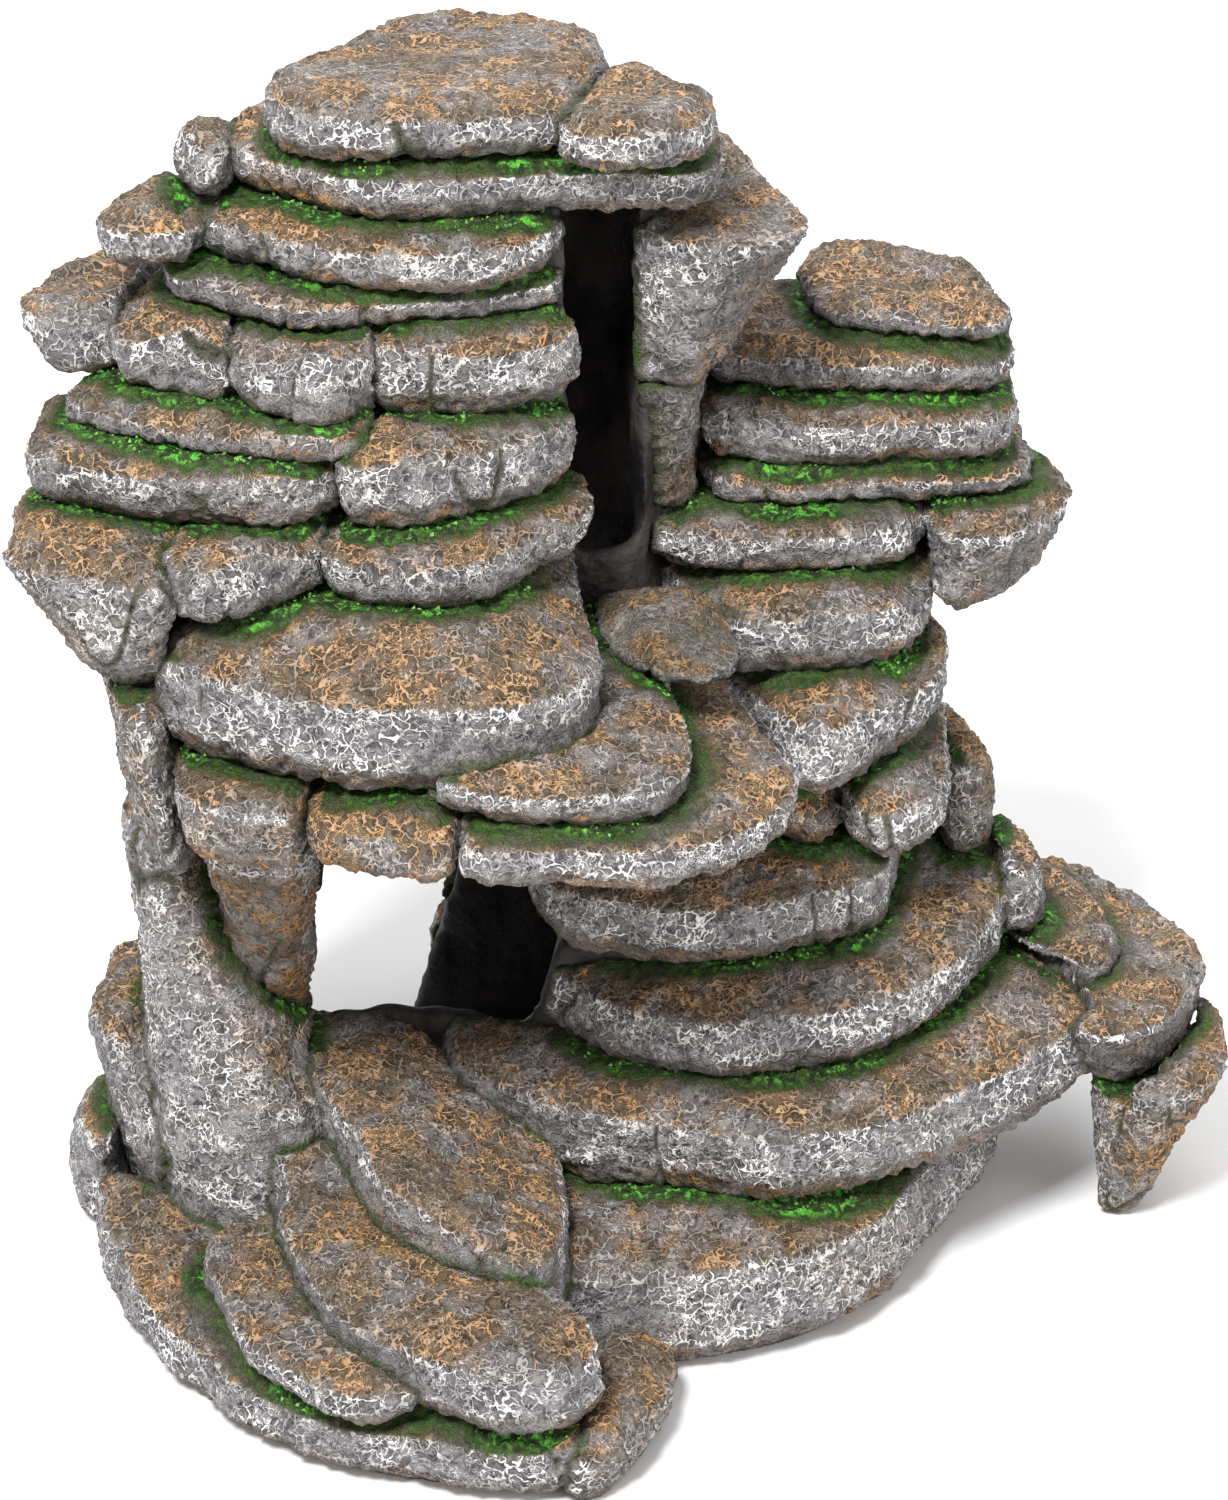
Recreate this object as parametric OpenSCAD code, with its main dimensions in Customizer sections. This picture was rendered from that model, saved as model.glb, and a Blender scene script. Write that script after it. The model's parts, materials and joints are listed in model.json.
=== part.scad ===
// Resin cave ornament: a hollow tower of stacked slate slabs with a spiral of ledges
// stepping down to the front, a tall cave mouth, a front arch and a side arch.
// The outlines are drawn about the foot of the cave mouth, in millimetres, with +Z up,
// +X to the right and -Y to the front. The finished model is then moved so that its
// origin is the middle of the bottom of its bounding box.

/* [Rock slabs] */
// How far a slab's foot is set back under its rim
undercut = 4; // [2:0.5:6]
// Rounding along the top edge of a slab
rim_round = 2; // [1:0.5:4]
// How far back from the rim a ledge rises to the slab above it
ledge_run = 13; // [8:1:20]
// Width of the cracks between neighbouring rocks of one course
crack = 1.6; // [1:0.2:3]
// Thickness of the cast wall that lines the cave
wall = 6; // [4:0.5:8]

/* [Tower courses, height of each foot] */
// Foot of the cap slabs
cap_foot = 286; // [285:1:287]
// Foot of the lintel over the cave mouth
lintel_foot = 272; // [271:1:273]
// Foot of the brow course
brow_foot = 258; // [257:1:259]
// Foot of the thin course under the brow
sliver_foot = 249; // [248:1:250]
// Foot of the upper shoulder course
shoulder_foot = 232; // [231:1:233]
// Foot of the thin course under the shoulder
wafer_foot = 224; // [223:1:225]
// Foot of the chest course
chest_foot = 208; // [207:1:209]
// Foot of the waist course
waist_foot = 192; // [191:1:193]
// Foot of the balcony boulders
balcony_foot = 158; // [157:1:159]

/* [Right stack, height of each foot] */
// Foot of the crown of the right stack
stack_crown_foot = 222; // [221:1:223]
// Foot of the second slab
stack_second_foot = 210; // [209:1:211]
// Foot of the third slab
stack_third_foot = 195; // [194:1:196]
// Foot of the fourth, thin slab
stack_fourth_foot = 186; // [185:1:187]
// Foot of the fifth slab
stack_fifth_foot = 172; // [171:1:173]
// Foot of the sixth slab
stack_sixth_foot = 151; // [150:1:152]
// Foot of the seventh slab
stack_seventh_foot = 127; // [126:1:128]
// Foot of the eighth slab
stack_eighth_foot = 107; // [106:1:108]

/* [Front ledges, height of each foot] */
// Foot of the first ledge, the highest
ledge_one_foot = 84; // [83:1:85]
// Foot of the second ledge
ledge_two_foot = 61; // [60:1:62]
// Foot of the third ledge
ledge_three_foot = 35; // [34:1:36]

/* [Stairs under the cave mouth, height of each foot] */
// Foot of the upper stair
upper_stair_foot = 156; // [155:1:157]
// Foot of the middle stair and of the bridge beside it
middle_stair_foot = 142; // [141:1:143]

/* [Whole ornament] */
// Height over the cap slab
total_height = 300; // [298:1:304]

/* [Hidden] */
// Moves the drawing origin to the middle of the bottom of the bounding box
to_centre = [-7.1, -46.1, 0];
// Points drawn along a curve for each corner given
curve_steps = 3;
// How far a cutting shape runs past what it cuts
past = 1;
// Longer than the ornament is wide or deep
far = 400;
// Back edge of the right lobes of the tower courses
lobe_back = 68;
// Right end of the tower courses behind the loft
course_end = 0.5;
// Depth of the cutting shapes for the front and rear arches
arch_depth = 120;
// How far back the front arch is cut
front_arch_back = 75;
// Where the cut for the rear arch begins
rear_arch_front = 105;
// Heights at which the cave narrows
grotto_low_ceiling = 31;
grotto_middle_ceiling = 80;
loft_floor = 142;
// Top of the pillar at the left of the front arch
column_top = 139;
// Foot and top of the stone on the cave's threshold
threshold_foot = 168;
threshold_top = 177;
// Top of the lowest base crescent
base_low_top = 21;
// Tops of the two crescents on the lowest one
base_middle_top = 32;
base_high_top = 42;
// Top of the lump at the far left
left_lump_top = 29;
// Low and high ends of the left half of the fourth ledge
four_left_low = 46;
four_left_high = 57;
// Widest part of the tall petal and the tops of both petals
petal_belly = 38;
tall_petal_top = 121;
short_petal_top = 63;
// Foot of the pillar at the left of the front arch
column_foot = 54;
// Foot and top of the boulder at the left of the column head
neck_foot = 124;
neck_top = 172;
// Stones beside the tower courses
left_ear_foot = 232.5;
left_ear_top = 248.5;
pillar_head_foot = 224;
pillar_head_top = 265;
// Crown of the right stack and the boulder beside its fifth slab
stack_crown_top = 229;
stack_boulder_foot = 157;
// Small stones at the right end of the ledges
rear_stone_top = 112;
ear_foot = 66;
ear_top = 86;
// Foot of the lintel over the rear arch
rear_lintel_foot = 94;
// Tops of the arm's slabs and of its leg
arm_top = 66;
arm_outer_top = 60;
leg_top = 46;
// Underside of the outer slab of the arm
arm_foot = 37;
// Thickness of a plate that only carries one outline of a rock
skim = 0.5;
// How far up a slab's face its widest part begins
belly_share = 0.3;

slate = [0.55, 0.53, 0.52];
slate_light = [0.66, 0.64, 0.63];
slate_ochre = [0.60, 0.48, 0.34];
slate_dark = [0.34, 0.32, 0.31];

// ---- curves -------------------------------------------------------------------

// Point on a Catmull-Rom span from b to c, with neighbours a and d
function span_point(a, b, c, d, t) =
    0.5 * (2 * b + (c - a) * t + (2 * a - 5 * b + 4 * c - d) * t * t
        + (3 * b - a - 3 * c + d) * t * t * t);

// Twice the area inside a closed outline, positive when it runs anticlockwise
function turning(p, i = 0) = i == len(p) ? 0
    : p[i][0] * p[(i + 1) % len(p)][1] - p[(i + 1) % len(p)][0] * p[i][1] + turning(p, i + 1);

// The same outline, always anticlockwise
function anticlockwise(p) = turning(p) > 0 ? p : [for (i = [len(p) - 1:-1:0]) p[i]];

// Closed smooth curve through the given corners
function curve(corners, steps = curve_steps) = let (p = anticlockwise(corners), n = len(p)) [
    for (i = [0:n - 1]) for (k = [0:steps - 1])
        span_point(p[(i + n - 1) % n], p[i], p[(i + 1) % n], p[(i + 2) % n], k / steps)
];

// Unit normal that points out of an anticlockwise curve at one of its points
function outward(p, i) = let (
    n = len(p),
    along = p[(i + 1) % n] - p[(i + n - 1) % n],
    size = max(norm(along), 0.001)
) [along[1] / size, -along[0] / size];

// Curve moved outwards by a distance, or inwards when it is negative
function moved(p, distance) = [for (i = [0:len(p) - 1]) p[i] + distance * outward(p, i)];

// ---- rock shapes --------------------------------------------------------------

// Flat plate over a smooth outline, between two heights
module plate(corners, low, high, grow = 0) {
    translate(to_centre + [0, 0, low]) linear_extrude(high - low)
        polygon(moved(curve(corners), grow));
}

// Slab whose foot is tucked under its rim and whose top climbs `rise` from the rim
// to the foot of the slab above it, at height `next`; its children are cut away
module slab(corners, foot, next, rise, run = ledge_run, tuck = undercut) {
    rim = next - rise;
    belly = foot + (rim - foot) * belly_share;
    difference() {
        hull() {
            plate(corners, foot, foot + skim, -tuck);
            plate(corners, belly, rim - rim_round);
            plate(corners, foot, rim, -max(tuck, rim_round));
            plate(corners, foot, next, -max(run, tuck));
        }
        cave_skin();
        children();
    }
}

// Boulder between a lower and an upper outline; its children are cut away
module boulder(low_corners, low, high_corners, high, rounding = 6) {
    difference() {
        hull() {
            plate(low_corners, low, low + skim, -rounding);
            plate(low_corners, low + rounding, low + rounding + skim);
            plate(high_corners, high - rounding - skim, high - rounding);
            plate(high_corners, high - skim, high, -rounding);
        }
        cave_skin();
        children();
    }
}

// Room for a neighbour that has this outline, between two heights
module room_for(corners, low, high) {
    hull() plate(corners, low, high, crack / 2);
}

// Everything in front of the loft and to the right of `x`, where the right lobes sit
module right_front(x) {
    translate(to_centre + [x, lobe_back - far, -past]) cube([far, far, total_height + 2 * past]);
}

// ---- the cave inside ----------------------------------------------------------

// Inner outlines of the cave, from the floor up
grotto_low = [[-80, 62], [-60, 54], [-40, 40], [-18, 22], [8, 16], [34, 22], [54, 40], [64, 70],
    [62, 102], [44, 130], [10, 143], [-30, 145], [-60, 142], [-84, 118]];
grotto_middle = [[-80, 64], [-58, 58], [-36, 52], [-10, 46], [16, 44], [36, 52], [50, 72],
    [50, 100], [34, 128], [0, 141], [-40, 143], [-70, 136], [-84, 110]];
grotto_high = [[-76, 72], [-50, 70], [-20, 70], [8, 70], [24, 78], [28, 100], [16, 124],
    [-12, 134], [-46, 134], [-70, 118]];
loft = [[-46, 76], [-26, 73], [-4, 74], [5, 84], [5, 106], [-6, 120], [-28, 125], [-46, 112], [-50, 92]];
// Passage from the loft out through the tall cave mouth
mouth = [[-12, 62], [6, 62], [6, 90], [-12, 90]];
mouth_sill = 181;

// Hollow space of the cave
module cave_void(grow = 0) {
    plate(grotto_low, -past, grotto_low_ceiling + grow, grow);
    plate(grotto_middle, grotto_low_ceiling - past, grotto_middle_ceiling + grow, grow);
    plate(grotto_high, grotto_middle_ceiling - past, loft_floor, grow);
    plate(loft, loft_floor - past, lintel_foot, grow);
}

// Everything inside the back of the cast wall
module cave_skin() {
    cave_void(wall);
    mouth_passage();
}

// Tall way in through the cave mouth
module mouth_passage() {
    translate(to_centre + [0, 0, mouth_sill]) linear_extrude(lintel_foot - mouth_sill) polygon(mouth);
}

// Opening at the front between the pillar and the ledges, cut back as far as `front_arch_back`
module front_arch() {
    translate(to_centre + [0, front_arch_back, 0]) rotate([90, 0, 0]) linear_extrude(arch_depth)
        polygon(curve([[-84, 58], [-60, 57], [-36, 58], [-19, 63], [-15, 100], [-19, 140], [-50, 150],
            [-80, 146], [-84, 100]]));
}

// Opening at the back left, down to the floor
module rear_arch() {
    translate(to_centre + [0, rear_arch_front + arch_depth, 0]) rotate([90, 0, 0]) linear_extrude(arch_depth)
        polygon([[-108, -past], [-56, -past], [-50, 28], [-43, 56], [-48, 80], [-62, 92], [-82, 93],
            [-100, 80], [-107, 50]]);
}

// ---- tower --------------------------------------------------------------------

module cap_slab() {
    color(slate_light)
        slab([[-84, 78], [-79, 66], [-68, 58], [-48, 56], [-28, 57], [-13, 61], [-8, 74], [-3, 98], [-2, 112],
            [-14, 130], [-34, 136], [-56, 126], [-76, 100]], cap_foot, total_height, 1, 12);
}

module cap_right_slab() {
    color(slate_light)
        slab([[1, 98], [10, 95], [20, 80], [22, 64], [17, 51], [4, 47], [-9, 51], [-12, 60], [-6, 74], [-2, 90]],
            cap_foot, total_height - 1, 1.5, 6);
}

module lintel_left_stone() {
    color(slate)
        slab([[-104, 84], [-102, 75], [-97, 71], [-94, 74], [-93.6, 82], [-93.6, 94], [-98, 98], [-103, 93]],
            lintel_foot, cap_foot, 2.5, 8);
}

module lintel_slab() {
    color(slate_light)
        slab([[-92, 80], [-87, 73], [-76, 67], [-64, 60], [-46, 54], [-24, 56], [0, 60], [18, 62], [25, 69], [27, 84],
            [22, 104], [6, 124], [-16, 140], [-48, 140], [-74, 126], [-90, 102]],
            lintel_foot, cap_foot, 1.5);
}

module brow_left_stone() {
    color(slate)
        slab([[-122, 69], [-119, 60], [-109, 58], [-100, 61], [-98.6, 70], [-98.8, 90], [-108, 95], [-119, 86]],
            brow_foot, lintel_foot, 2.5, 9);
}

module brow_slab() {
    color(slate_light)
        slab([[-97, 68], [-82, 57], [-65, 48], [-46, 44], [-27, 46], [-16, 54], [-13, 62], [course_end, 122],
            [course_end, 146], [-14, 150], [-52, 148], [-80, 132], [-96, 100]], brow_foot, lintel_foot, 2);
}

module sliver_slab() {
    color(slate)
        slab([[-106, 68], [-100, 58], [-86, 50], [-72, 42], [-52, 47], [-34, 49], [-18, 55], [-13, 62],
            [course_end, 122], [course_end, 148], [-14, 153], [-54, 151], [-86, 134], [-104, 100]],
            sliver_foot, brow_foot, 1, 8);
}

shoulder_left_corners = [[-119, 60], [-118, 48], [-108, 44], [-97, 41], [-91, 41], [-95, 60], [-97.5, 100],
    [-110, 98]];

module left_ear_stone() {
    color(slate)
        boulder([[-138, 72], [-135, 59], [-124, 57], [-112, 64], [-104, 90], [-112, 104], [-130, 98]],
            left_ear_foot, [[-142, 74], [-140, 61], [-128, 58], [-116, 61], [-104, 80], [-102, 99],
            [-120, 105], [-139, 92]], left_ear_top, 3)
            room_for(shoulder_left_corners, left_ear_foot - past, left_ear_top + past);
}

module shoulder_left_stone() {
    color(slate_light)
        slab(shoulder_left_corners, shoulder_foot, sliver_foot, 3, 9);
}

module shoulder_slab() {
    color(slate_light)
        slab([[-89, 39], [-82, 34], [-72, 31], [-62, 31], [-59, 42], [course_end, 122], [course_end, 148],
            [-14, 154], [-56, 151], [-88, 132], [-95, 96]], shoulder_foot, sliver_foot, 2.5, 9)
            right_front(-58.5);
}

module shoulder_right_slab() {
    color(slate_light)
        slab([[-57, 42], [-50, 38], [-36, 36], [-20, 41], [-11, 50], [-10, 62], [-16, 68], [-54, 64]],
            shoulder_foot - 3, sliver_foot, 2, 10);
}

module wafer_slab() {
    color(slate)
        slab([[-131, 56], [-129, 46], [-116, 39], [-104, 31], [-90, 25], [-74, 23], [-61, 24], [-59, 40],
            [course_end, 122], [course_end, 150], [-14, 155], [-58, 153], [-96, 134], [-122, 90]],
            wafer_foot, shoulder_foot, 2, 8) right_front(-60);
}

module chest_slab() {
    color(slate_light)
        slab([[-141, 54], [-140, 39], [-130, 32], [-116, 26], [-96, 20], [-77, 18], [-68, 22], [-66, 40],
            [course_end, 124], [course_end, 150], [-14, 156], [-60, 154], [-100, 134], [-130, 90]],
            chest_foot, wafer_foot, 2, 12) right_front(-66);
}

module chest_right_slab() {
    color(slate_light)
        slab([[-64, 26], [-62, 18], [-50, 19], [-34, 25], [-20, 36], [-11, 47], [-12, 60], [-20, 67],
            [-62, 54]], chest_foot, shoulder_foot - 3, 3, 14);
}

module waist_left_boulder() {
    color(slate_light)
        boulder([[-134, 34], [-130, 16], [-120, 4], [-104, 8], [-104, 50], [-124, 60]], neck_top,
            [[-145, 38], [-144, 14], [-132, 4], [-114, 1], [-103, 3], [-102, 58], [-122, 76], [-142, 60]],
            chest_foot, 7) {
            room_for(balcony_corners, balcony_foot - past, waist_foot);
            right_front(-102.5);
        }
}

module waist_slab() {
    color(slate_light)
        slab([[-99, 4], [-93, 2], [-82, 7], [-71, 14], [-69, 36], [course_end, 126], [course_end, 150],
            [-14, 155], [-60, 153], [-94, 132], [-99, 80]], waist_foot, chest_foot, 2.5, 12)
            right_front(-70);
}

module waist_right_slab() {
    color(slate_light)
        slab([[-68, 14], [-60, 7], [-48, 5], [-34, 11], [-18, 26], [-6, 42], [-6, 54], [-16, 66], [-66, 54]],
            waist_foot, chest_foot, 3, 14);
}

balcony_corners = [[-107, 20], [-105, 4], [-90, -7], [-73, -16], [-54, -22], [-35, -22], [-20, -17],
    [-9, -6], [-6, 12], [-9, 34], [-14, 66], [-22, 150], [-58, 152], [-94, 130], [-107, 80]];

module balcony_boulder() {
    color(slate) slab(balcony_corners, balcony_foot, waist_foot, 9, 18, 5);
}

// ---- right stack --------------------------------------------------------------

module cave_mouth_pillar() {
    color(slate)
        boulder([[6, 95], [8, 85], [14, 82], [20, 90], [23, 108], [23, 148], [6, 152]],
            stack_fourth_foot, [[6, 84], [9, 75], [16, 73], [21, 84], [23, 108], [23, 148], [6, 152]],
            pillar_head_foot, 1);
}

module pillar_head_stone() {
    color(slate_light)
        boulder([[6, 83], [9, 74], [17, 72], [23, 83], [25, 108], [25, 148], [6, 152]],
            pillar_head_foot, [[6, 80], [18, 64], [32, 60], [43, 68], [46, 86], [39, 106], [30, 116],
            [24, 146], [6, 148]], pillar_head_top, 2);
}

module stack_crown_slab() {
    color(slate_light)
        slab([[49, 132], [55, 114], [72, 106], [90, 103], [100, 110], [100, 128], [88, 150], [70, 163],
            [53, 161], [47, 148]], stack_crown_foot, stack_crown_top, 1, 16);
}

module stack_second_slab() {
    color(slate_light)
        slab([[25, 112], [29, 103], [56, 99], [80, 96], [94, 99], [101, 109], [99, 134], [84, 156],
            [56, 162], [26, 150]], stack_second_foot, stack_crown_foot, 2.5, 12);
}

module stack_third_slab() {
    color(slate_light)
        slab([[24.5, 100], [28, 92], [60, 87], [82, 88], [97, 94], [102, 110], [98, 136], [78, 158], [46, 162],
            [25, 150]], stack_third_foot, stack_second_foot, 2, 12);
}

module stack_fourth_slab() {
    color(slate)
        slab([[24.5, 96], [30, 86], [64, 83], [86, 86], [103, 94], [107, 106], [100, 138], [76, 160],
            [44, 162], [25, 150]], stack_fourth_foot, stack_third_foot, 2, 10);
}

module stack_fifth_slab() {
    color(slate_light)
        slab([[8, 88], [14, 77], [30, 73], [60, 74], [75, 79], [77, 104], [74, 144], [50, 160], [10, 158],
            [-18, 150], [8, 112]], stack_fifth_foot, stack_fourth_foot, 2, 12);
}

module stack_fifth_boulder() {
    color(slate)
        boulder([[80, 90], [84, 78], [96, 84], [108, 98], [106, 122], [90, 138], [80, 134]], stack_boulder_foot,
            [[79, 90], [82, 74], [94, 73], [108, 82], [117, 98], [115, 116], [98, 142], [79, 142]],
            stack_fourth_foot, 5);
}

module stack_sixth_slab() {
    color(slate_light)
        slab([[22, 76], [28, 60], [46, 56], [64, 62], [77, 75], [79, 104], [76, 136], [50, 158], [10, 158],
            [-18, 150], [22, 112]], stack_sixth_foot, stack_fifth_foot, 4, 14);
}

module stack_seventh_slab() {
    color(slate_light)
        slab([[36, 64], [41, 48], [52, 39], [67, 54], [81, 75], [83, 100], [76, 134], [50, 158],
            [10, 158], [-18, 150]], stack_seventh_foot, stack_sixth_foot, 5, 14);
}

module stack_eighth_slab() {
    color(slate_light)
        slab([[62, 62], [61, 50], [66, 42], [76, 46], [85, 60], [84, 106], [74, 136], [56, 156],
            [44, 154], [50, 100]], stack_eighth_foot, stack_seventh_foot, 5, 12);
}

module stack_eighth_stone() {
    color(slate_ochre)
        slab([[38, 66], [42, 54], [50, 48], [56, 52], [57, 64], [48, 88], [40, 92]],
            stack_eighth_foot, stack_seventh_foot, 9, 8);
}

module stack_rear_stone() {
    color(slate_ochre)
        boulder([[86, 96], [89, 88], [97, 90], [99, 103], [94, 120], [86, 124]], ledge_one_foot,
            [[86.5, 98], [89, 91], [95, 93], [97, 104], [92, 118], [86, 123]], rear_stone_top, 3);
}

module ledge_two_ear() {
    color(slate_light)
        boulder([[100, 94], [102, 80], [109, 79], [113, 90], [108, 106], [100, 108]], ear_foot,
            [[99, 94], [101, 80], [107, 79], [111, 90], [106, 104], [99, 108]], ear_top, 3)
            room_for(ledge_two_corners, ledge_two_foot, ledge_one_foot);
}

// ---- stairs under the cave mouth ----------------------------------------------

module threshold_stone() {
    color(slate)
        slab([[-4, 50], [3, 30], [14, 17], [27, 18], [31, 38], [23, 62], [-2, 66]], threshold_foot,
            threshold_top, 5, 20, 1);
}

module upper_stair() {
    color(slate)
        slab([[8, 50], [12, 26], [18, 4], [17, -14], [10, -27], [-6, -31], [-28, -31], [-44, -20], [-40, 10],
            [-20, 64], [6, 66]], upper_stair_foot, threshold_foot, 2, 10)
            room_for(balcony_corners, balcony_foot, waist_foot);
}

module middle_stair() {
    color(slate)
        slab([[22, 62], [31, 38], [40, 10], [40, -12], [32, -26], [14, -34], [-14, -34], [-33.5, -32],
            [-34.5, 10], [-34.5, 64], [10, 66]], middle_stair_foot, upper_stair_foot, 2, 14);
}

module bridge_slab() {
    color(slate_ochre)
        slab([[-38, -31], [-53, -28], [-69, -23], [-69, 10], [-69, 62], [-39.5, 64], [-39, 10]],
            middle_stair_foot, upper_stair_foot, 2, 10, 2);
}

// ---- front ledges -------------------------------------------------------------

module ledge_one() {
    color(slate_light)
        slab([[-18, 64], [-18, 42], [-4, 32], [21, 28], [46, 33], [64, 45], [70, 58], [76, 100], [64, 150],
            [20, 164], [-40, 162]], ledge_one_foot, stack_eighth_foot, 4, 18);
}

ledge_two_corners = [[-17, 66], [-17, 46], [-4, 24], [24, 11], [52, 15], [78, 34], [95, 60], [102, 82],
    [98, 120], [72, 154], [20, 166], [-42, 164]];

module ledge_two() {
    color(slate_light) slab(ledge_two_corners, ledge_two_foot, ledge_one_foot, 4, 20);
}

ledge_three_corners = [[-43, 52], [-34, 26], [-14, 9], [10, 0], [38, -6], [68, 1], [98, 24], [118, 45],
    [124, 58], [104, 92], [96, 124], [70, 156], [20, 167], [-46, 164]];

module ledge_three() {
    color(slate_light) slab(ledge_three_corners, ledge_three_foot, ledge_two_foot, 3, 22);
}

ledge_four_left_corners = [[-80, 58], [-75, 24], [-66, -2], [-54, -28], [-38, -42], [-24, -46], [-15, -42],
    [-15, 4], [-24, 30], [-50, 54]];

module ledge_four_left() {
    high_end = [[-80, 58], [-75, 24], [-66, -2], [-54, -28], [-44, -32], [-46, 10], [-56, 52]];
    color(slate_light) difference() {
        hull() {
            plate(ledge_four_left_corners, 0, skim, -undercut);
            plate(ledge_four_left_corners, base_low_top, four_left_low - rim_round);
            plate(ledge_four_left_corners, 0, four_left_low, -rim_round);
            plate(high_end, base_low_top, four_left_high - rim_round);
            plate(high_end, 0, four_left_high, -rim_round);
        }
        cave_skin();
        room_for(ledge_three_corners, ledge_three_foot, ledge_two_foot);
    }
}

module ledge_four_right() {
    color(slate_light)
        slab([[-30, 40], [-30, -24], [-8, -30], [4, -28], [24, -25], [48, -16], [66, 0], [82, 26], [95, 50],
            [100, 70], [94, 110], [72, 156], [20, 168], [-50, 164]], 0, ledge_three_foot, 4, 22, 6)
            room_for(ledge_four_left_corners, -past, four_left_high + past);
}

// ---- arm and leg at the right -------------------------------------------------

arm_inner_corners = [[102, 100], [105, 86], [113, 75], [125, 64], [132, 78], [128, 102], [116, 122], [103, 114]];

module arm_inner_slab() {
    color(slate)
        boulder([[103, 96], [106, 86], [114, 77], [124, 68], [129, 82], [124, 104], [113, 118], [103, 110]],
            ledge_three_foot + 4, arm_inner_corners, arm_top, 3) {
            room_for(ledge_three_corners, ledge_three_foot, ledge_two_foot + past);
            room_for(ledge_two_corners, ledge_two_foot, ledge_one_foot);
        }
}

arm_outer_corners = [[124, 38], [142, 48], [153, 74], [147, 102], [131, 127], [115, 137], [108, 130],
    [112, 100], [118, 66]];

module arm_outer_slab() {
    color(slate)
        boulder([[126, 48], [141, 56], [150, 76], [144, 100], [130, 121], [116, 131], [111, 126], [114, 100],
            [120, 68]], arm_foot, arm_outer_corners, arm_outer_top, 3) {
            room_for(arm_inner_corners, arm_foot - past, arm_top + past);
            room_for(ledge_three_corners, ledge_three_foot, ledge_two_foot + past);
        }
}

module arm_leg() {
    color(slate)
        boulder([[127, 51], [130, 43], [137, 47], [138, 59], [130, 61]], 0,
            [[125.5, 45], [141, 34], [158, 48], [158.8, 74], [153, 87], [140, 82], [128, 66]], leg_top, 3) {
            room_for(arm_inner_corners, arm_foot, arm_top + past);
            room_for(arm_outer_corners, arm_foot, arm_outer_top + past);
            room_for(ledge_three_corners, ledge_three_foot, ledge_two_foot);
        }
}

// ---- column and rocks at the left ---------------------------------------------

module column_head() {
    color(slate_light)
        boulder([[-102, 20], [-99, -11], [-85, -19], [-73, -18], [-72.8, 20], [-73, 60], [-99, 60]], column_top,
            [[-103, 20], [-101, -11], [-86, -22], [-73, -21], [-72.8, 20], [-73, 64], [-102, 60]],
            balcony_foot, 3);
}

// The pillar's rock, grown by `grow` where a neighbour is cut to fit it
module column_rock(grow = 0) {
    hull() {
        plate([[-99, 92], [-95, 64], [-86, 48], [-77, 56], [-80, 92]], column_foot, column_foot + 8, grow - 3);
        plate([[-104, 60], [-99, 4], [-86, -10], [-74, -8], [-75, 30], [-77, 66], [-98, 90]],
            column_top - 7, column_top, grow);
    }
}

module column() {
    color(slate_ochre) difference() {
        column_rock();
        cave_skin();
    }
}

module neck_boulder() {
    color(slate)
        boulder([[-120, 60], [-116, 30], [-110, 9], [-103.6, 5], [-103.4, 60], [-114, 74]], neck_foot,
            [[-124, 56], [-123, 22], [-115, 0], [-106, -2], [-105, 60], [-118, 70]], neck_top, 4) {
            column_rock(crack / 2);
            room_for(balcony_corners, balcony_foot, waist_foot);
        }
}

tall_petal_crest = [[-122, 64], [-120, 46], [-114, 42], [-109, 52], [-108, 72], [-116, 82]];

// The tall petal's rock, grown by `grow` where a neighbour is cut to fit it
module tall_petal_rock(grow = 0) {
    hull() {
        plate([[-113, 24], [-100, 8], [-84, 4], [-75, 12], [-74, 44], [-80, 62], [-98, 86], [-113, 84]],
            -grow, skim, grow);
        plate([[-116, 30], [-102, 14], [-84, 12], [-75, 20], [-73, 46], [-80, 62], [-98, 86], [-117, 84]],
            petal_belly, petal_belly + 12, grow);
        plate(tall_petal_crest, tall_petal_top - 9, tall_petal_top - 5, grow);
        plate(tall_petal_crest, tall_petal_top - 9, tall_petal_top, grow - 4);
    }
}

module tall_petal() {
    color(slate) difference() {
        tall_petal_rock();
        column_rock(crack / 2);
        room_for(ledge_four_left_corners, -past, four_left_high + past);
        cave_skin();
    }
}

short_petal_crest = [[-132, 84], [-133, 48], [-127, 34], [-119, 40], [-112, 60], [-112, 84]];

// The short petal's rock, grown by `grow` where a neighbour is cut to fit it
module short_petal_rock(grow = 0) {
    hull() {
        plate([[-126, 84], [-122, 52], [-108, 22], [-101, 16], [-110, 50], [-112, 84]], -grow, 4, grow);
        plate(short_petal_crest, short_petal_top - 9, short_petal_top - 4, grow);
        plate(short_petal_crest, short_petal_top - 9, short_petal_top, grow - 4);
    }
}

module short_petal() {
    color(slate) difference() {
        short_petal_rock();
        tall_petal_rock(crack / 2);
    }
}

module left_lump() {
    color(slate)
        boulder([[-144, 64], [-140, 48], [-133, 38], [-127, 50], [-130, 82], [-139, 82]], 0,
            [[-140, 62], [-137, 46], [-132, 38], [-129, 50], [-131, 70], [-136, 72]], left_lump_top, 6);
}

// ---- base crescents -----------------------------------------------------------

base_crescent_low_corners = [[-133, 34], [-128, 12], [-118, -15], [-102, -42], [-83, -61], [-60, -74],
    [-36, -80], [-12, -80], [-7, -60], [-10, -44], [-60, 0], [-80, 3], [-108, 18], [-122, 36]];

module base_crescent_low() {
    color(slate)
        slab(base_crescent_low_corners, 0, base_low_top, 3, 10, 7) {
            room_for(ledge_four_left_corners, -past, four_left_high + past);
            tall_petal_rock(crack / 2);
            short_petal_rock(crack / 2);
        }
}

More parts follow.
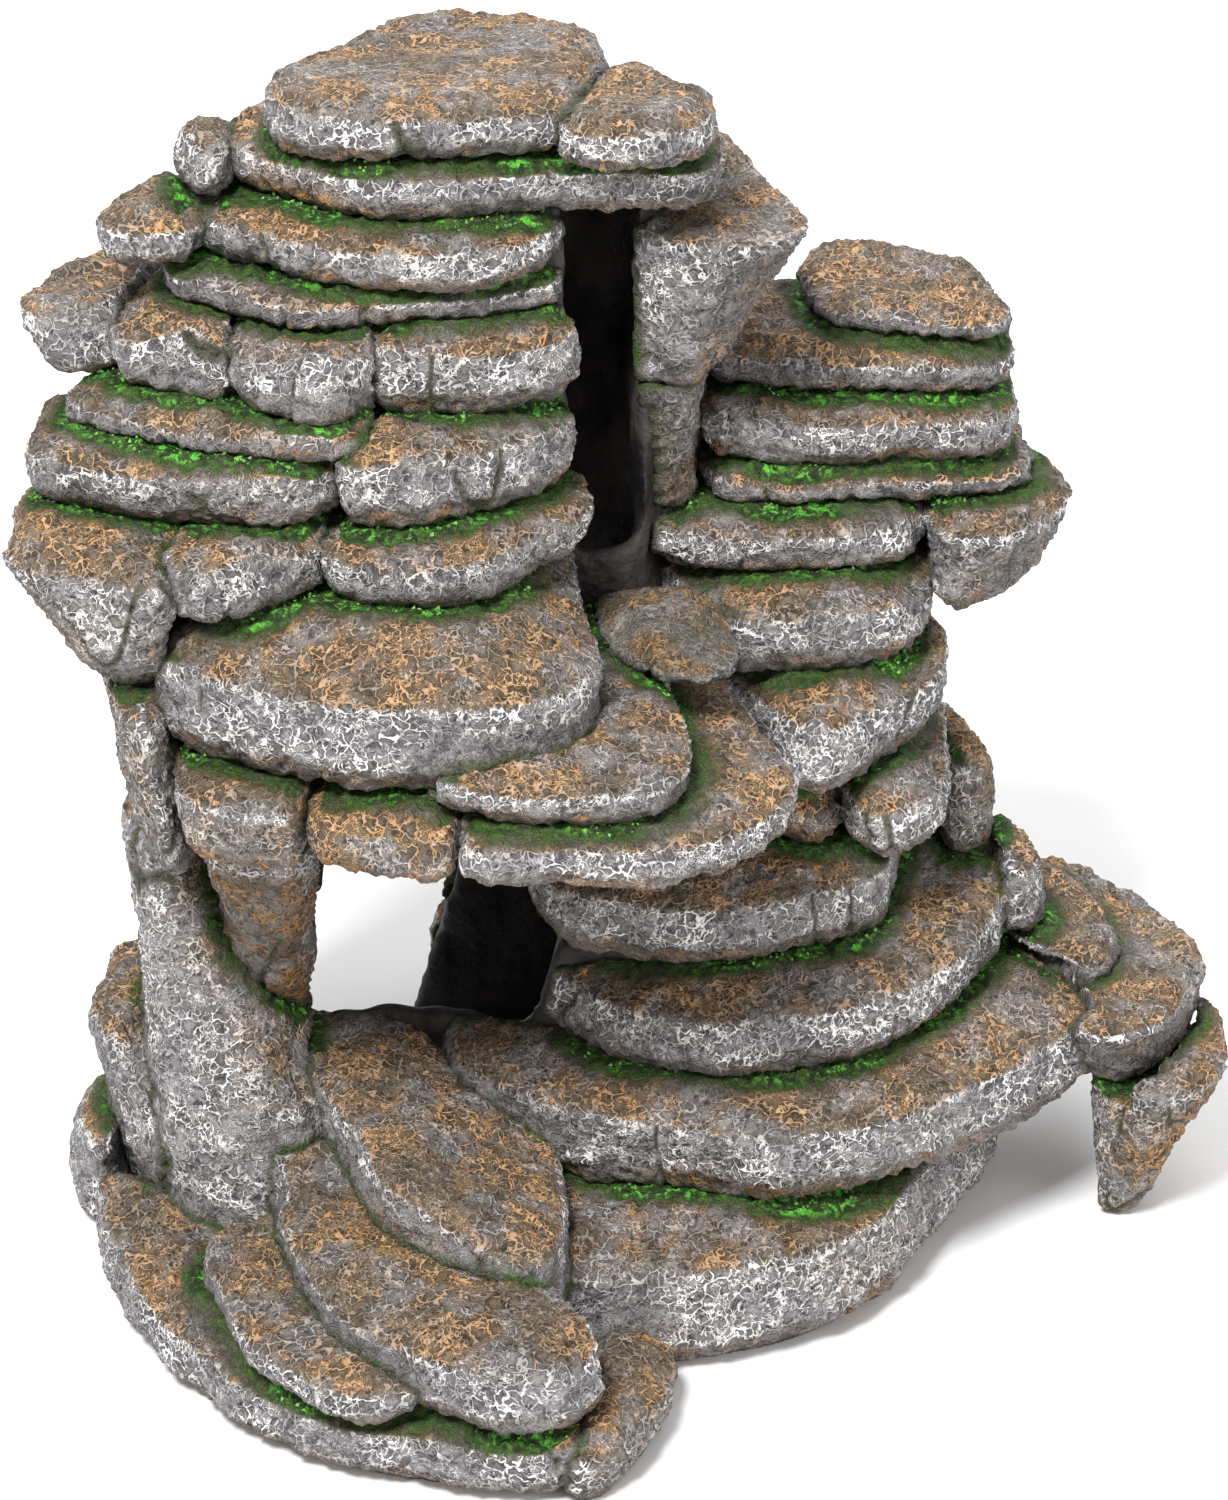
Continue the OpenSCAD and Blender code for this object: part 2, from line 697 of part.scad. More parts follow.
module base_crescent_middle() {
    color(slate)
        slab([[-92, 2], [-101, -14], [-94, -42], [-78, -66], [-62, -78], [-44, -70], [-56, -30], [-70, -2]],
            base_low_top, base_middle_top, 2, 12, 2) {
            room_for(base_crescent_high_corners, base_low_top - past, base_middle_top + past);
            tall_petal_rock(crack / 2);
        }
}

base_crescent_high_corners = [[-75, 22], [-81, 4], [-80, -20], [-68, -52], [-50, -73], [-30, -82], [-12, -80],
    [-4, -66], [-14, -46], [-46, -30], [-68, 0]];

module base_crescent_high() {
    color(slate)
        slab(base_crescent_high_corners, base_low_top, base_high_top, 2, 14) {
            room_for(ledge_four_left_corners, -past, four_left_high + past);
            tall_petal_rock(crack / 2);
        }
}

module base_front_stone() {
    color(slate)
        slab([[-12, -79], [0, -77], [9, -62], [13, -42], [11, -31], [-8, -33]], 0, base_low_top - 2, 4, 10, 3)
            translate(to_centre + [0, 0, -past]) linear_extrude(base_high_top)
                polygon(moved(curve(base_crescent_low_corners), crack / 2));
}

// ---- back of the tower --------------------------------------------------------

module rear_left_column() {
    color(slate)
        boulder([[-124, 94], [-104, 92], [-108, 110], [-107, 138], [-118, 136], [-126, 114]], 0,
            [[-116, 88], [-100, 94], [-92, 100], [-90, 138], [-106, 134], [-116, 112]], balcony_foot, 6);
}

module rear_arch_lintel() {
    color(slate)
        boulder([[-86, 130], [-84, 112], [-60, 142], [-52, 142], [-49, 158], [-70, 156]], rear_lintel_foot,
            [[-86, 142], [-86, 110], [-60, 130], [-52, 140], [-49, 158], [-70, 157]], balcony_foot, 6);
}

module rear_middle_stone() {
    color(slate)
        boulder([[-18, 140], [10, 138], [30, 120], [40, 120], [40, 158], [10, 165], [-18, 164]],
            stack_eighth_foot, [[-18, 140], [10, 138], [30, 120], [38, 120], [38, 156], [10, 162], [-18, 161]],
            stack_seventh_foot, 4);
}

module rear_left_stone() {
    color(slate)
        boulder([[-46, 136], [-25, 138], [-24, 164], [-46, 163]], stack_eighth_foot,
            [[-46, 134], [-25, 138], [-24, 156], [-46, 154]], balcony_foot, 5);
}

// ---- cast lining of the cave --------------------------------------------------

module loft_lining() {
    color(slate_dark) difference() {
        plate(loft, loft_floor, lintel_foot, wall);
        plate(loft, loft_floor - past, lintel_foot + past);
        mouth_passage();
    }
}

module grotto_lining() {
    color(slate_dark) difference() {
        union() {
            plate(grotto_low, 0, grotto_low_ceiling + wall, wall);
            plate(grotto_middle, grotto_low_ceiling, grotto_middle_ceiling + wall, wall);
            plate(grotto_high, grotto_middle_ceiling, loft_floor, wall);
        }
        plate(grotto_low, -past, grotto_low_ceiling);
        plate(grotto_middle, grotto_low_ceiling - past, grotto_middle_ceiling);
        plate(grotto_high, grotto_middle_ceiling - past, loft_floor + past);
        front_arch();
        rear_arch();
    }
}

// ---- the assembly --------------------------------------------------------------

cap_slab();
cap_right_slab();
lintel_left_stone();
lintel_slab();
brow_left_stone();
brow_slab();
sliver_slab();
left_ear_stone();
shoulder_left_stone();
shoulder_slab();
shoulder_right_slab();
wafer_slab();
chest_slab();
chest_right_slab();
waist_left_boulder();
waist_slab();
waist_right_slab();
balcony_boulder();
cave_mouth_pillar();
pillar_head_stone();
stack_crown_slab();
stack_second_slab();
stack_third_slab();
stack_fourth_slab();
stack_fifth_slab();
stack_fifth_boulder();
stack_sixth_slab();
stack_seventh_slab();
stack_eighth_slab();
stack_eighth_stone();
stack_rear_stone();
ledge_two_ear();
threshold_stone();
upper_stair();
middle_stair();
bridge_slab();
ledge_one();
ledge_two();
ledge_three();
ledge_four_left();
ledge_four_right();
arm_inner_slab();
arm_outer_slab();
arm_leg();
column_head();
column();
neck_boulder();
tall_petal();
short_petal();
left_lump();
base_crescent_low();
base_crescent_middle();
base_crescent_high();
base_front_stone();
rear_left_column();
rear_arch_lintel();
rear_middle_stone();
rear_left_stone();
loft_lining();
grotto_lining();
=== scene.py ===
"""Looks of the resin cave ornament: weathered slate slabs with dry-brushed paint and moss flock."""

import itertools
import json
import math

import bpy
import numpy as np
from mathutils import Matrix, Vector
from mathutils.bvhtree import BVHTree


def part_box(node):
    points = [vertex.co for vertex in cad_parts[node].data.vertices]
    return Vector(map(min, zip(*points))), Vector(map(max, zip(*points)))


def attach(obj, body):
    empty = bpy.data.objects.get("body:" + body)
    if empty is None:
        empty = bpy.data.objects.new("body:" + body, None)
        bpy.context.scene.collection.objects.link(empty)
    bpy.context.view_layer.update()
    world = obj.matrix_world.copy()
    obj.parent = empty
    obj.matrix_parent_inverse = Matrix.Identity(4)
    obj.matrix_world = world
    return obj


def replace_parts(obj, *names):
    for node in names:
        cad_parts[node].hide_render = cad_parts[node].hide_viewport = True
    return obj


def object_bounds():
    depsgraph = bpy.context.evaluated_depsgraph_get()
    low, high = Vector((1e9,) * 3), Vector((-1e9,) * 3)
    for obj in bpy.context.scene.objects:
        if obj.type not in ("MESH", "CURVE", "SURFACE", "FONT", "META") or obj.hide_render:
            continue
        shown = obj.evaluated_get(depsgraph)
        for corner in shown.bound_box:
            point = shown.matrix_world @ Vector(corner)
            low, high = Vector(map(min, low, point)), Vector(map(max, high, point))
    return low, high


MM = 0.001

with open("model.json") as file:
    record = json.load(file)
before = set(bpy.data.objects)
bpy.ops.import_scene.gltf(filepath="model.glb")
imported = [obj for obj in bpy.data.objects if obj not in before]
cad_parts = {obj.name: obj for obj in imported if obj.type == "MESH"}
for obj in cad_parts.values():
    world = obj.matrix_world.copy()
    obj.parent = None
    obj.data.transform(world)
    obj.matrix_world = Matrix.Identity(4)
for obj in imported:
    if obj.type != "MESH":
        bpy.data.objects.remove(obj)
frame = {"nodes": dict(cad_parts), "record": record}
cad_low, cad_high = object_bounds()
record = frame["record"]
slot_of = {entry["node"]: entry["material_slot"] for entry in record["subparts"]}
nodes = frame["nodes"]

# ---- driving sizes ----------------------------------------------------------------

# Grid step of the rock meshes and the coarser one of the lining
VOXEL = 1.25 * MM
LINING_VOXEL = VOXEL * 1.3
# Rounds of smoothing that take the corners off the rocks and the lining
ROUNDING_ROUNDS = 3
LINING_ROUNDS = 8
# How far a rock swells to make up for its rounding, and closes up on a neighbour beside it
SWELL = 0.2 * MM
CLOSE_UP = 1.6 * MM
# How much of its rounding a rock gives up right beside a neighbour
JOINT_SHARPNESS = 0.8
# How far a neighbour can be and still count in a rock's crevices
REACH = 16 * MM
# Heights over the floor between which the relief dies away, and how much of it is left below
FLOOR_START = 0.5 * MM
FLOOR_BAND = 4 * MM
FLOOR_RELIEF = 0.15
# Roughness of the rocks, from broad to fine: width and height of each kind
LUMP_WIDTH, LUMP_HEIGHT = 23 * MM, 1.3 * MM
KNOB_WIDTH, KNOB_HEIGHT = 10 * MM, 1.0 * MM
BARK_WIDTH, BARK_HEIGHT = 6.0 * MM, 1.0 * MM
GRAIN_WIDTH, GRAIN_HEIGHT = 3.4 * MM, 0.7 * MM
FISSURE_WIDTH, FISSURE_DEPTH = 26 * MM, 1.3 * MM
# The slow bend that all rocks share
WARP_WIDTH, WARP_HEIGHT = 34 * MM, 2.6 * MM
# Roughness of the cast lining
LINING_LUMP_WIDTH, LINING_LUMP_HEIGHT = 17 * MM, 1.3 * MM
LINING_CREST_WIDTH, LINING_CREST_HEIGHT = 8 * MM, 0.7 * MM
# First seed of each kind of noise; the number of the piece is added
LUMP_SEED, KNOB_SEED, BARK_SEED, GRAIN_SEED = 20, 40, 60, 80
FISSURE_SEED, FISSURE_PATCH_SEED = 100, 120
LINING_LUMP_SEED, LINING_CREST_SEED = 140, 150
# Seeds of the moss patches, the same on every rock
MOSS_SEED, TUFT_SEED = 5, 7
# Anything lower than this is set flat on the floor
FOOT_SNAP = 0.6 * MM
# Stones in the shadow of the cave mouth, and how much painted shade each gets all over
MOUTH_SHADE = {"threshold_stone": 0.40, "cave_mouth_pillar": 0.34}
# Most flakes of flock, the range of their sizes, and how thick moss is where they grow
TUFTS = 3200
FLAKE_SMALL, FLAKE_LARGE = 0.35 * MM, 1.0 * MM
THICK_MOSS = 0.6
# Seed of the shared bend and of the flakes
SEED = 11


# ---- noise ------------------------------------------------------------------------

GRADIENTS = np.array(
    [g for g in itertools.product((-1, 0, 1), repeat=3) if sum(map(abs, g)) == 2], float
)


def lattice_hash(cells, seed):
    """A repeatable scrambled whole number for each lattice cell."""
    x, y, z = cells[:, 0], cells[:, 1], cells[:, 2]
    mixed = (x * 73856093) ^ (y * 19349663) ^ (z * 83492791) ^ (seed * 2654435761)
    mixed = (mixed ^ (mixed >> 13)) * 1274126177
    return (mixed ^ (mixed >> 16)) & 0x7FFFFFFF


def noise(points, size, seed):
    """Smooth gradient noise, about -1 to 1, with features `size` metres across."""
    scaled = points / size + seed * 0.37
    cells = np.floor(scaled).astype(np.int64)
    local = scaled - cells
    fade = local**3 * (local * (local * 6 - 15) + 10)
    total = np.zeros(len(points))
    for corner in itertools.product((0, 1), repeat=3):
        shift = np.array(corner)
        gradient = GRADIENTS[lattice_hash(cells + shift, seed) % len(GRADIENTS)]
        weight = np.prod(np.where(shift == 1, fade, 1 - fade), axis=1)
        total += weight * ((local - shift) * gradient).sum(axis=1)
    return total * 1.3


def ridged(points, size, seed):
    """Sharp wandering crests: 1 along the crest, 0 between."""
    return np.clip(1 - 2.2 * np.abs(noise(points, size, seed)), 0, 1)


def step(values, low, high):
    """Smooth step from 0 at low to 1 at high."""
    t = np.clip((values - low) / (high - low), 0, 1)
    return t * t * (3 - 2 * t)


# ---- rock meshes ------------------------------------------------------------------


def mesh_arrays(mesh):
    """Vertex places and edges of a mesh as arrays."""
    places = np.empty(len(mesh.vertices) * 3)
    mesh.vertices.foreach_get("co", places)
    edges = np.empty(len(mesh.edges) * 2, np.int64)
    mesh.edges.foreach_get("vertices", edges)
    return places.reshape(-1, 3), edges.reshape(-1, 2)


def vertex_normals(mesh):
    normals = np.empty(len(mesh.vertices) * 3)
    mesh.vertex_normals.foreach_get("vector", normals)
    return normals.reshape(-1, 3)


def smoothed(places, edges, rounds):
    """Places after some rounds of moving each vertex halfway to its neighbours' middle."""
    count = len(places)
    near = np.bincount(edges.ravel(), minlength=count)[:, None]
    for _ in range(rounds):
        total = np.stack(
            [
                np.bincount(edges[:, 0], places[edges[:, 1], axis], count)
                + np.bincount(edges[:, 1], places[edges[:, 0], axis], count)
                for axis in range(places.shape[1])
            ],
            axis=1,
        )
        places = places + 0.5 * (total / near - places)
    return places


def set_places(mesh, places):
    """Moves the vertices of a mesh to new places."""
    mesh.vertices.foreach_set("co", places.astype(np.float32).ravel())
    mesh.update()


def store(mesh, name, values):
    """Keeps one number per vertex for the material to read."""
    layer = mesh.attributes.new(name, "FLOAT", "POINT")
    layer.data.foreach_set("value", np.asarray(values, np.float32))


def voxel_copy(node, voxel):
    """An even, closed mesh over the CAD solid of a node."""
    source = bpy.data.objects.new(node + "_source", nodes[node].data.copy())
    bpy.context.scene.collection.objects.link(source)
    skin = source.modifiers.new("skin", "REMESH")
    skin.mode = "VOXEL"
    skin.voxel_size = voxel
    graph = bpy.context.evaluated_depsgraph_get()
    mesh = bpy.data.meshes.new_from_object(source.evaluated_get(graph))
    bpy.data.objects.remove(source)
    mesh.materials.clear()
    return mesh


def triangles_of(node):
    """Places and triangles of a node's CAD solid."""
    mesh = nodes[node].data
    mesh.calc_loop_triangles()
    places = [v.co.copy() for v in mesh.vertices]
    return places, [tuple(t.vertices) for t in mesh.loop_triangles]


BOXES = {name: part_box(name) for name in nodes}
SHAPES = {name: triangles_of(name) for name in nodes}


def neighbours_tree(node):
    """Search tree over every CAD solid that comes within reach of a node."""
    low, high = BOXES[node]
    places, faces = [], []
    for other in sorted(nodes):
        other_low, other_high = BOXES[other]
        apart = any(
            other_low[i] > high[i] + REACH or other_high[i] < low[i] - REACH for i in range(3)
        )
        if other == node or apart:
            continue
        shape_places, shape_faces = SHAPES[other]
        start = len(places)
        places += shape_places
        faces += [tuple(start + i for i in face) for face in shape_faces]
    return BVHTree.FromPolygons(places, faces)


def crevice_reading(node, places):
    """For each place, how far the nearest neighbour is and which way it lies (its z part)."""
    tree = neighbours_tree(node)
    distance = np.full(len(places), REACH)
    lean = np.zeros(len(places))
    for i, place in enumerate(places):
        hit, _, _, far = tree.find_nearest(Vector(place), REACH)
        if hit is not None:
            distance[i] = far
            lean[i] = (hit.z - place[2]) / max(far, 1e-6)
    return distance, lean


def keep_inside(places):
    """Holds every place inside the CAD model's box, with feet flat on the floor."""
    places = np.clip(places, np.array(cad_low), np.array(cad_high))
    places[:, 2] = np.where(places[:, 2] < FOOT_SNAP, 0, places[:, 2])
    return places


def shared_warp(places):
    """A slow bend of space that all rocks follow, so neighbours stay together."""
    shift = np.stack([noise(places, WARP_WIDTH, SEED + k) for k in range(3)], axis=1)
    shift[:, 2] *= 0.45
    calm = step(places[:, 2], 0, FLOOR_BAND)[:, None]
    sideways = calm * 0.5 + 0.5
    return places + shift * WARP_HEIGHT * np.concatenate([sideways, sideways, calm], 1)


def raised(soft, normals, relief):
    """Places pushed out along their normals by the relief, which fades near the floor."""
    calm = step(soft[:, 2], FLOOR_START, FLOOR_BAND)
    share = FLOOR_RELIEF + (1 - FLOOR_RELIEF) * calm
    return keep_inside(shared_warp(soft + normals * (relief * share)[:, None]))


def bark_and_grain(soft, number):
    """Sharp coarse and fine crests of a rock."""
    bark = ridged(soft * [1, 1, 1.3], BARK_WIDTH, BARK_SEED + number)
    grain = ridged(soft, GRAIN_WIDTH, GRAIN_SEED + number)
    return bark, grain


def fissures(soft, up, number):
    """Upright cracks down some of the faces: 1 in a crack, 0 elsewhere."""
    crack = step(np.abs(noise(soft * [1, 1, 0.3], FISSURE_WIDTH, FISSURE_SEED + number)), 0.05, 0.0)
    patch = step(noise(soft, 30 * MM, FISSURE_PATCH_SEED + number), 0.1, 0.35)
    return crack * patch * step(up, 0.75, 0.45)


def rock_relief(soft, up, distance, crests, fissure, number):
    """How far each place of a rock is pushed out."""
    bark, grain = crests
    lumps = noise(soft, LUMP_WIDTH, LUMP_SEED + number) * LUMP_HEIGHT
    knobs = noise(soft, KNOB_WIDTH, KNOB_SEED + number) * KNOB_HEIGHT
    open_air = step(distance, 0.5 * MM, 5 * MM)
    relief = (lumps + knobs) * (0.25 + 0.75 * open_air)
    relief += (bark - 0.4) * BARK_HEIGHT + (grain - 0.4) * GRAIN_HEIGHT
    relief -= fissure * FISSURE_DEPTH
    beside = step(distance, 4 * MM, 0) * step(np.abs(up), 0.8, 0.3)
    return relief + SWELL + beside * CLOSE_UP


def moss_mask(soft, up, distance, shelf, above):
    """Moss on shelves right under the next rock, and a little in tight joints."""
    moss = step(distance, 8.5 * MM, 1.5 * MM) * shelf * above
    in_joint = step(distance, 2.2 * MM, 0.4 * MM) * step(up, -0.35, 0.1) * 0.6
    patchy = 0.5 + 0.5 * step(noise(soft, 24 * MM, MOSS_SEED), -0.3, 0.2)
    return np.maximum(moss, in_joint) * patchy


def make_rock(node, number):
    """A weathered rock over one CAD node, with its paint masks stored per vertex."""
    mesh = voxel_copy(node, VOXEL)
    sharp, edges = mesh_arrays(mesh)
    soft = smoothed(sharp, edges, ROUNDING_ROUNDS)
    set_places(mesh, soft)
    normals = vertex_normals(mesh)
    up = smoothed(normals, edges, 2)[:, 2]
    distance, lean = crevice_reading(node, soft)
    edge = step(((sharp - soft) * normals).sum(axis=1), 0.06 * MM, 0.4 * MM)
    edge = smoothed(edge[:, None], edges, 3)[:, 0]
    soft += (sharp - soft) * step(distance, 5 * MM, 1 * MM)[:, None] * JOINT_SHARPNESS

    bark, grain = bark_and_grain(soft, number)
    fissure = fissures(soft, up, number)
    relief = rock_relief(soft, up, distance, (bark, grain), fissure, number)
    set_places(mesh, raised(soft, normals, relief))

    above = step(lean, -0.15, 0.35)
    below = step(lean, 0.1, -0.4)
    shelf = step(up, 0.25, 0.7)
    # Painted shade: darker on shelves right under the next rock and close beside any neighbour, and over
    # all of the stones in the shadow of the cave mouth; the cracks are darkened too
    shade = step(distance, 13 * MM, 0) * shelf * above
    shade = np.maximum(shade, step(distance, 4.0 * MM, 0.2 * MM))
    shade = np.maximum(np.maximum(shade, fissure), MOUTH_SHADE.get(node, 0))
    store(mesh, "moss", moss_mask(soft, up, distance, shelf, above))
    store(mesh, "shade", shade)
    store(mesh, "shelf", shelf)
    store(mesh, "foot", step(distance, 11 * MM, 2 * MM) * below * (1 - shelf))
    store(mesh, "edge", edge)
    store(mesh, "ridge", 0.55 * bark + 0.45 * grain)
    store(mesh, "under", step(up, -0.05, -0.6))
    return mesh


def make_lining(node, number):
    """The bare cast inner wall of the cave: soft lumps, no rock paint; its material is dark painted shade.
    """
    mesh = voxel_copy(node, LINING_VOXEL)
    sharp, edges = mesh_arrays(mesh)
    soft = smoothed(sharp, edges, LINING_ROUNDS)
    set_places(mesh, soft)
    normals = vertex_normals(mesh)
    relief = noise(soft, LINING_LUMP_WIDTH, LINING_LUMP_SEED + number) * LINING_LUMP_HEIGHT
    relief += ridged(soft, LINING_CREST_WIDTH, LINING_CREST_SEED + number) * LINING_CREST_HEIGHT
    set_places(mesh, raised(soft, normals, relief))
    return mesh


# ---- materials --------------------------------------------------------------------


class Paint:
    """Short calls for building one material's nodes."""

    def __init__(self, name):
        self.material = bpy.data.materials.new(name)
        self.material.use_nodes = True
        self.tree = self.material.node_tree
        self.shader = self.tree.nodes["Principled BSDF"]
        self.coords = self.add("ShaderNodeTexCoord").outputs["Object"]

    def add(self, kind, **settings):
        node = self.tree.nodes.new(kind)
        for name, value in settings.items():
            setattr(node, name, value)
        return node

    def feed(self, socket, value):
        """Sets a socket to a number or colour, or links another node's output to it."""
        if isinstance(value, bpy.types.NodeSocket):
            self.tree.links.new(value, socket)
        else:
            socket.default_value = value

    def noise(self, scale, detail=3.0, rough=0.55, distortion=0.0, vector=None):
        node = self.add("ShaderNodeTexNoise")
        self.feed(node.inputs["Vector"], vector or self.coords)
        node.inputs["Scale"].default_value = scale
        node.inputs["Detail"].default_value = detail
        node.inputs["Roughness"].default_value = rough
        node.inputs["Distortion"].default_value = distortion
        return node.outputs["Fac"]

    def math(self, operation, a, b=0.0, clamp=False):
        node = self.add("ShaderNodeMath", operation=operation, use_clamp=clamp)
        self.feed(node.inputs[0], a)
        self.feed(node.inputs[1], b)
        return node.outputs[0]

    def ramp(self, value, low, high, start=0.0, end=1.0):
        """Smooth step of a value, from start at low to end at high."""
        node = self.add("ShaderNodeMapRange", interpolation_type="SMOOTHSTEP")
        self.feed(node.inputs["Value"], value)
        node.inputs["From Min"].default_value = low
        node.inputs["From Max"].default_value = high
        node.inputs["To Min"].default_value = start
        node.inputs["To Max"].default_value = end
        return node.outputs["Result"]

    def mix(self, amount, a, b):
        """Colour a, painted over with colour b by an amount."""
        node = self.add("ShaderNodeMix", data_type="RGBA")
        self.feed(node.inputs["Factor"], amount)
        self.feed(node.inputs[6], a)
        self.feed(node.inputs[7], b)
        return node.outputs[2]

    def mask(self, name):
        return self.add("ShaderNodeAttribute", attribute_name=name).outputs["Fac"]

    def bump(self, height, distance, strength=1.0):
        node = self.add("ShaderNodeBump")
        node.inputs["Distance"].default_value = distance
        node.inputs["Strength"].default_value = strength
        self.feed(node.inputs["Height"], height)
        self.feed(self.shader.inputs["Normal"], node.outputs["Normal"])


GREY_DARK = (0.045, 0.041, 0.041, 1)
GREY_MID = (0.235, 0.221, 0.222, 1)
GREY_LIGHT = (0.350, 0.334, 0.336, 1)
DRY_BRUSH = (0.90, 0.89, 0.875, 1)
BROWN_DARK = (0.026, 0.020, 0.013, 1)
BROWN = (0.150, 0.108, 0.064, 1)
OCHRE = (0.44, 0.215, 0.052, 1)
OLIVE = (0.055, 0.062, 0.020, 1)
MOSS_DARK = (0.016, 0.036, 0.008, 1)
MOSS_GREEN = (0.048, 0.098, 0.017, 1)
MOSS_BRIGHT = (0.110, 0.500, 0.045, 1)
CREVICE = (0.014, 0.014, 0.012, 1)
# Painted shade: the dark and lighter tones of the cave's inner wall
INNER_SHADE_DARK = (0.012, 0.010, 0.009, 1)
INNER_SHADE_LIGHT = (0.060, 0.051, 0.045, 1)
FLOCK_DARK = (0.075, 0.21, 0.018, 1)
FLOCK_BRIGHT = (0.17, 0.55, 0.05, 1)


def strokes(p, scale, break_scale, width, offset):
    """Short wavy raised strokes, about 1 on a stroke and 0 between."""
    shifted = p.add("ShaderNodeVectorMath", operation="ADD")
    p.feed(shifted.inputs[0], p.coords)
    shifted.inputs[1].default_value = (offset, offset * 0.7, offset * 0.4)
    winding = p.noise(scale, detail=1.5, distortion=1.1, vector=shifted.outputs[0])
    line = p.ramp(p.math("ABSOLUTE", p.math("SUBTRACT", winding, 0.5)), width, width * 0.15)
    gaps = p.ramp(p.noise(break_scale, detail=1, vector=shifted.outputs[0]), 0.38, 0.56)
    return p.math("MULTIPLY", line, gaps)


def vein_distance(p, scale, warp):
    """How far a place is from the nearest line of a wandering net."""
    stir = p.add("ShaderNodeTexNoise")
    p.feed(stir.inputs["Vector"], p.coords)
    stir.inputs["Scale"].default_value = scale * 1.1
    stir.inputs["Detail"].default_value = 2
    bend = p.add("ShaderNodeVectorMath", operation="MULTIPLY_ADD")
    p.feed(bend.inputs[0], stir.outputs["Color"])
    bend.inputs[1].default_value = (warp, warp, warp)
    p.feed(bend.inputs[2], p.coords)
    net = p.add("ShaderNodeTexVoronoi", feature="DISTANCE_TO_EDGE")
    p.feed(net.inputs["Vector"], bend.outputs[0])
    net.inputs["Scale"].default_value = scale
    return net.outputs["Distance"]


def brush_lines(p):
    """Fine raised lines that catch the dry brush, and the dark hollows beside them."""
    coarse = strokes(p, 200, 120, 0.034, 0.0)
    slim = strokes(p, 380, 190, 0.040, 0.31)
    gaps = p.ramp(p.noise(170, detail=2), 0.38, 0.54)
    net = vein_distance(p, 240, 6 * MM)
    small_net = vein_distance(p, 400, 5 * MM)
    thin_net = p.math("MULTIPLY", p.ramp(net, 0.10, 0.03), gaps)
    hair_net = p.math("MULTIPLY", p.ramp(small_net, 0.12, 0.03), p.ramp(gaps, 1.0, 0.3, 0.25, 0.8))
    halo = p.math("MULTIPLY", p.ramp(net, 0.34, 0.14), gaps)
    lines = p.math("MAXIMUM", p.math("MAXIMUM", coarse, thin_net), p.math("MULTIPLY", slim, 0.7))
    return p.math("MAXIMUM", lines, hair_net), halo


def grey_stone(p, hollows, broad, ridge):
    """Grey paint, lighter in broad clouds and darker between the crests."""
    body = p.mix(hollows, GREY_DARK, GREY_MID)
    cloud = p.math("MULTIPLY", p.ramp(broad, 0.40, 0.62), p.math("MULTIPLY", hollows, 0.6))
    body = p.mix(cloud, body, GREY_LIGHT)
    return p.mix(p.math("MULTIPLY", p.ramp(ridge, 0.35, 0.08), 0.45), body, GREY_DARK)


def warm_amount(p, ochre_bias, broad, patch, masks):
    """Where the brown wash lies: tops, undersides and patches, but not on the rims."""
    warm = p.math("ADD", p.math("MULTIPLY", masks["shelf"], 0.95), p.math("MULTIPLY", masks["under"], 0.45))
    warm = p.math("ADD", warm, ochre_bias)
    warm = p.math("ADD", warm, p.ramp(broad, 0.52, 0.70, 0.0, 0.45))
    warm = p.math("MULTIPLY", warm, p.ramp(masks["edge"], 0.85, 0.10))
    return p.math("MULTIPLY", warm, p.ramp(patch, 0.36, 0.58, 0.30, 1.10), clamp=True)


def washed(p, body, warm, hollows, lines, shade):
    """The body under a brown wash, with ochre strokes on the wash."""
    body = p.mix(p.math("MULTIPLY", warm, 0.95), body, p.mix(hollows, BROWN_DARK, BROWN))
    glow = p.math("MULTIPLY", warm, p.ramp(lines, 0.25, 0.75))
    glow = p.math("MULTIPLY", glow, p.ramp(shade, 0.75, 0.25))
    glow = p.math("MULTIPLY", glow, p.ramp(p.noise(60, detail=3), 0.40, 0.57, 0.15, 1.0))
    return p.mix(glow, body, OCHRE)


def dry_brushed(p, body, warm, lines, patch, fine, masks):
    """White strokes, most on the rims and upper faces, few in shade and on the wash."""
    brush = p.math("ADD", p.math("MULTIPLY", masks["edge"], 0.9), p.ramp(patch, 0.38, 0.62, 0.28, 1.0))
    brush = p.math("MULTIPLY", brush, p.ramp(masks["shade"], 0.60, 0.15))
    brush = p.math("MULTIPLY", brush, p.ramp(masks["foot"], 0.75, 0.15, 0.12, 1.0))
    brush = p.math("MULTIPLY", brush, p.ramp(warm, 0.85, 0.20, 0.18, 1.0))
    brush = p.math("MULTIPLY", brush, p.ramp(masks["under"], 0.9, 0.1, 0.25, 1.0))
    dabs = p.math("MULTIPLY", p.ramp(lines, 0.35, 0.80), p.ramp(fine, 0.38, 0.54, 0.35, 1.0))
    return p.mix(p.math("MULTIPLY", brush, dabs, clamp=True), body, DRY_BRUSH)


